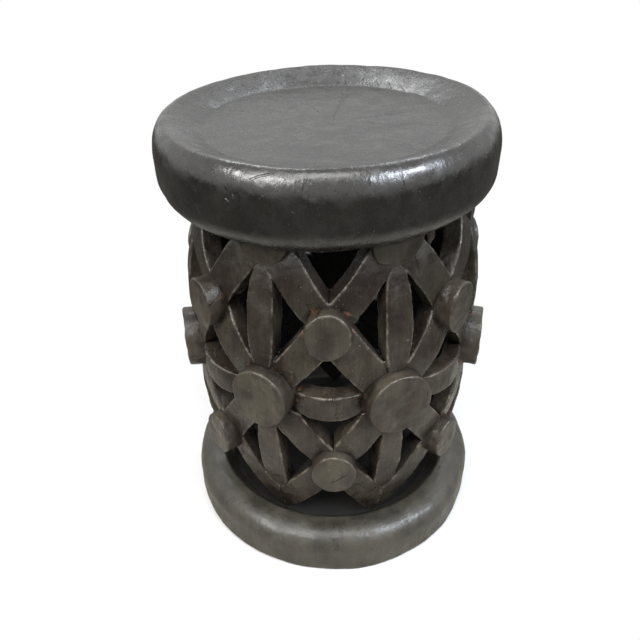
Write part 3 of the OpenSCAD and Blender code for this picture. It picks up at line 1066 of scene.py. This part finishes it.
@dataclass
class Bands:
    """The spiders' legs, the level bands between spiders, and the arms up to the seat and down to the base ring."""

    lattice: Lattice
    slat_mid_w: float = 0.024
    slat_end_w: float = 0.009
    tongue: float = 0.006
    tuck: float = 0.0015
    side_mid: float = 0.139
    side_tuck: float = 0.131
    side_mid_h: float = 0.026
    side_end_h: float = 0.017
    side_depth: float = 0.016
    side_drop: float = 0.004
    grid: float = 0.00102
    rubs: int = 6
    dents: tuple[Point2, ...] = ((0.026, 0.0022), (0.009, 0.0004))
    stray: Point2 = (-0.0016, 0.0012)
    hand: random.Random = field(default_factory=lambda: random.Random(5))

    def _skew(self, name: str) -> Sequence[float]:
        """How unevenly a band is cut: as listed for it, or by a hand that strays a little."""
        strays = [self.hand.uniform(*self.stray) for _ in range(4)]
        return OWN_SKEWS.get(name, strays)

    def _skin(self, parts: Sequence[Piece], name: str) -> Piece:
        """Joins a member's parts, gives them an even skin of small faces, rubs their edges round and dents them.

        Args:
            parts: the parts.
            name: name of the member.

        Returns:
            The member.
        """
        obj = Bench.join(parts, name)
        Bench.modifier(obj, "REMESH", mode="VOXEL", voxel_size=self.grid)
        Bench.modifier(obj, "SMOOTH", factor=0.5, iterations=self.rubs)
        Bench.hand_cut(obj, self.dents)
        return obj

    def _slat_leaf(self, half: Half, i: int) -> Piece:
        """The prism that a spider's slat is cut with.

        Args:
            half: the half.
            i: number of the spider, from 0.

        Returns:
            The prism.
        """
        lat, spider = self.lattice, self.lattice.at(Row.SPIDER, i)
        low, high = lat.slat_foot_z, spider.height - spider.radius + self.tongue
        if half.row is Row.UPPER:
            low, high = spider.height + spider.radius - self.tongue, lat.seat_z - lat.rim_tab_r + self.tongue
        centre, length = (low + high) / 2, high - low
        return lat.leaf(spider.angle, centre, length / 2, self.slat_mid_w, self.slat_end_w, level=False)

    def _side_place(self, i: int) -> tuple[float, float, float]:
        """Angle and height of the middle of the level band after spider i, and half the angle it spans."""
        here, there = self.lattice.at(Row.SPIDER, i), self.lattice.at(Row.SPIDER, i + 1)
        half = (there.angle - here.angle) / 2 - math.asin(here.radius / here.face)
        return (here.angle + there.angle) / 2, (here.height + there.height) / 2 - self.side_drop, half

    def _side_leaf(self, i: int) -> Piece:
        """The prism that the level band after spider i is cut with."""
        angle, height, half = self._side_place(i)
        reach = self.side_tuck * math.sin(half) + self.tongue
        return self.lattice.leaf(angle, height, reach, self.side_mid_h, self.side_end_h, level=True)

    def spider_legs(self, i: int) -> Piece:
        """Four slanted legs and two upright slats of a spider.

        Args:
            i: number of the spider, from 0.

        Returns:
            The member.
        """
        lat, hub = self.lattice, self.lattice.at(Row.SPIDER, i).spot
        hub_end, legs, slats = (lat.spider_r, hub[1]), [], []
        for half in (UPPER_HALF, LOWER_HALF):
            left, right = lat.at(half.row, i).spot, lat.at(half.row, i + 1).spot
            for way, end, from_p, to_p, side in (("left", left, left, hub, i - 1), ("right", right, hub, right, i)):
                ends = low_first(hub_end, (half.boss_r, end[1]))
                leg = lat.wall(from_p, to_p, *ends, lat.leg_bow, self._skew(f"{half.row.value}_leg_{i + 1}_{way}"))
                Bench.cut(leg, self._slat_leaf(half, i), Cut.AWAY)
                Bench.cut(leg, self._side_leaf(side), Cut.AWAY)
                legs.append(leg)
            slat = lat.wall(left, right, *low_first(hub_end, half.slat_tip), half.slat_bow)
            Bench.cut(slat, self._slat_leaf(half, i), Cut.KEEP)
            aim = (hub[0], half.aim_z)
            for from_p, to_p in ((left, aim), (aim, right)):
                point, out = lat.band_sides(from_p, to_p)[half.inner_side]
                Bench.bisect(slat, point - out * self.tuck, -out)
            slats.append(slat)
        return self._skin([*legs, *slats], f"carved_spider_legs_{i + 1}")

    def side_leg(self, i: int) -> Piece:
        """The level band from a spider to the next. It lies on an arc that bulges out.

        Args:
            i: number of the spider, from 0.

        Returns:
            The member.
        """
        angle, height, half = self._side_place(i)
        half_x = self.side_tuck * math.sin(half)
        sag = self.side_mid - self.side_tuck * math.cos(half)
        arc = (half_x * half_x + sag * sag) / (2 * sag)
        centre = radial(angle) * (self.side_mid - arc) + UP * height
        reach = math.asin(min(1.0, (half_x + self.tongue) / arc))
        out, up = radial(angle - reach), UP * self.side_mid_h
        face, back = centre + out * arc, centre + out * (arc - self.side_depth)
        obj = Bench.start_line("level band", [face + up, face - up, back - up, back + up], closed=True)
        bpy.ops.mesh.spin(steps=20, angle=2 * reach, center=centre, axis=-UP)
        Bench.cut(Bench.close_up(obj), self._side_leaf(i), Cut.KEEP)
        return self._skin([obj], f"carved_side_leg_{i + 1}")

    def arms(self, half: Half, i: int) -> Piece:
        """The pair of bands from a small boss up to the seat or down to the base ring.

        Args:
            half: the half.
            i: number of the boss, from 0.

        Returns:
            The member.
        """
        lat, hub = self.lattice, self.lattice.at(half.row, i).spot
        left, right = ((lat.at(Row.SPIDER, k).angle, half.aim_z) for k in (i - 1, i))
        ends = low_first((half.boss_r, hub[1]), half.arm_tip)
        parts = [
            lat.wall(from_p, to_p, *ends, half.arm_bow, self._skew(f"{half.arms}_{i + 1}_{way}"))
            for way, from_p, to_p in (("left", left, hub), ("right", hub, right))
        ]
        return self._skin(parts, f"carved_{half.arms}_{i + 1}")


@dataclass(frozen=True)
class Lamp:
    """A soft window lamp. Its angle and rise are in degrees round from the front and above the level."""

    name: str
    angle: float
    rise: float
    width: float
    height: float
    watts: float
    colour: Colour


LAMPS = (
    Lamp("left window", -44.0, 37.0, 0.80, 0.42, 22.0, (1.0, 0.985, 0.96)),
    Lamp("right window", 55.0, 36.0, 0.90, 0.42, 32.0, (0.84, 0.91, 1.0)),
    Lamp("overhead", -8.0, 60.0, 1.3, 0.9, 18.0, WHITE),
    Lamp("left skylight", -152.0, 55.0, 0.6, 0.4, 6.5, (0.97, 0.985, 1.0)),
    Lamp("right skylight", 152.0, 55.0, 0.6, 0.4, 6.0, (0.90, 0.95, 1.0)),
)


@dataclass
class Studio:
    """The camera, the lamps, the pale floor and the white behind it. A fade runs between two distances."""

    eye: Point3 = (0.00604, -0.50846, 0.54711)
    yaw: float = -0.0367
    pitch: float = 0.5989
    roll: float = -0.01546
    lens: float = 33.76
    sensor: float = 36.0
    clip: float = 0.01
    lamp_away: float = 2.0
    lamp_aim_z: float = 0.25
    sky: tuple[float, ...] = (0.0, 0.9, 0.14, 0.36)
    floor_size: float = 14.0
    floor_z: float = -0.0003
    near_floor: Colour = (0.52, 0.495, 0.43)
    far_floor: Colour = (0.10, 0.095, 0.085)
    seen_floor: Colour = (0.97, 0.97, 0.97)
    floor_fade: Point2 = (0.25, 0.6)
    white_fade: Point2 = (0.15, 0.32)

    def camera(self) -> None:
        """Sets the camera where the photograph was taken from: turned to the right, tipped down and rolled."""
        data = bpy.data.cameras.new("camera")
        data.sensor_width, data.lens, data.clip_start = self.sensor, self.lens, self.clip
        obj = bpy.data.objects.new("camera", data)
        bpy.context.scene.collection.objects.link(obj)
        turn = Matrix.Rotation(-self.yaw, 4, "Z") @ Matrix.Rotation(math.pi / 2 - self.pitch, 4, "X")
        obj.matrix_world = Matrix.Translation(Vector(self.eye)) @ turn @ Matrix.Rotation(self.roll, 4, "Z")
        bpy.context.scene.camera = obj

    def lamp(self, lamp: Lamp) -> None:
        """Stands a lamp round the stool and points it at the drum.

        Args:
            lamp: its place, size and light.
        """
        data = bpy.data.lights.new(lamp.name, "AREA")
        data.shape, data.size, data.size_y = "RECTANGLE", lamp.width, lamp.height
        data.energy, data.color = lamp.watts, lamp.colour
        obj = bpy.data.objects.new(lamp.name, data)
        bpy.context.scene.collection.objects.link(obj)
        rise = math.radians(lamp.rise)
        away = radial(math.radians(lamp.angle)) * math.cos(rise) + UP * math.sin(rise)
        turn = away.to_track_quat("Z", "Y").to_matrix().to_4x4()
        obj.matrix_world = Matrix.Translation(UP * self.lamp_aim_z + away * self.lamp_away) @ turn

    def world(self) -> None:
        """Fills the world with light that brightens upwards, and shows white to the camera and in reflections."""
        world = bpy.data.worlds.new("studio")
        world.use_nodes = True
        bpy.context.scene.world = world
        sheet = NodeSheet(world.node_tree)
        ray = sheet.add("LightPath").outputs
        up = sheet.add("SeparateXYZ", {0: sheet.add("TexCoord").outputs["Generated"]}).outputs["Z"]
        seen = sheet.most(ray["Is Camera Ray"], ray["Is Transmission Ray"], ray["Is Glossy Ray"])
        strength = sheet.most(sheet.ramp(up, *self.sky), seen)
        light = sheet.add("Background", {"Color": (*WHITE, 1.0), "Strength": strength})
        sheet.add("OutputWorld", {"Surface": light.outputs[0]})

    def floor(self) -> None:
        """Lays the pale floor."""
        Bench.deselect()
        bpy.ops.mesh.primitive_plane_add(size=self.floor_size, location=(0, 0, self.floor_z))
        obj = bpy.context.object
        obj.name = "floor"
        made = bpy.data.materials.new("pale floor")
        made.use_nodes = True
        sheet = NodeSheet(made.node_tree)
        seen = sheet.add("LightPath").outputs["Is Camera Ray"]
        away = sheet.vector("LENGTH", {0: sheet.add("TexCoord").outputs["Object"]})
        colour = sheet.blend(sheet.ramp(away, *self.floor_fade), self.near_floor, self.far_floor)
        colour = sheet.blend(seen, colour, self.seen_floor)
        shader = sheet.add("BsdfPrincipled", {"Base Color": colour, "Roughness": 1.0})
        white = sheet.add("Emission", {"Color": (*WHITE, 1.0), "Strength": 1.0})
        far = sheet.times(sheet.ramp(away, *self.white_fade), seen)
        both = sheet.add("MixShader", {0: far, 1: shader.outputs[0], 2: white.outputs[0]})
        sheet.add("OutputMaterial", {"Surface": both.outputs[0]})
        obj.data.materials.append(made)

    def build(self) -> None:
        """Sets up the whole studio."""
        self.camera()
        for lamp in LAMPS:
            self.lamp(lamp)
        self.world()
        self.floor()
        bpy.context.scene.view_settings.view_transform = "Standard"


def main() -> None:
    """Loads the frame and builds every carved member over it."""
    logging.basicConfig(level=logging.INFO, format="%(message)s")
    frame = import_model()
    lattice = Lattice.of(frame)
    Studio().build()
    carver = Carver(lattice)
    carver.hand_over(Seat().build(), ["seat"], RIM_FINISH)
    carver.hand_over(BaseRing().build(), ["base_ring"], BASE_FINISH)
    bosses = Bosses()
    for row, places in lattice.rows.items():
        for number, place in enumerate(places, 1):
            carver.hand_over(bosses.build(row, number, place), [f"{row.value}_{number}"], BOSS_FINISH)
    carver.hand_over(bosses.build_tabs("carved_rim_tabs", lattice.tabs()), ["rim_tabs"], BOSS_FINISH)
    bands = Bands(lattice)
    for i in range(COLUMNS):
        carver.hand_over(bands.spider_legs(i), [f"spider_legs_{i + 1}"], BAND_FINISH)
        carver.hand_over(bands.side_leg(i), [f"side_leg_{i + 1}"], BAND_FINISH)
        for half in (UPPER_HALF, LOWER_HALF):
            carver.hand_over(bands.arms(half, i), [f"{half.arms}_{i + 1}"], BAND_FINISH)
    Bench.deselect()


if __name__ == "__main__":
    main()
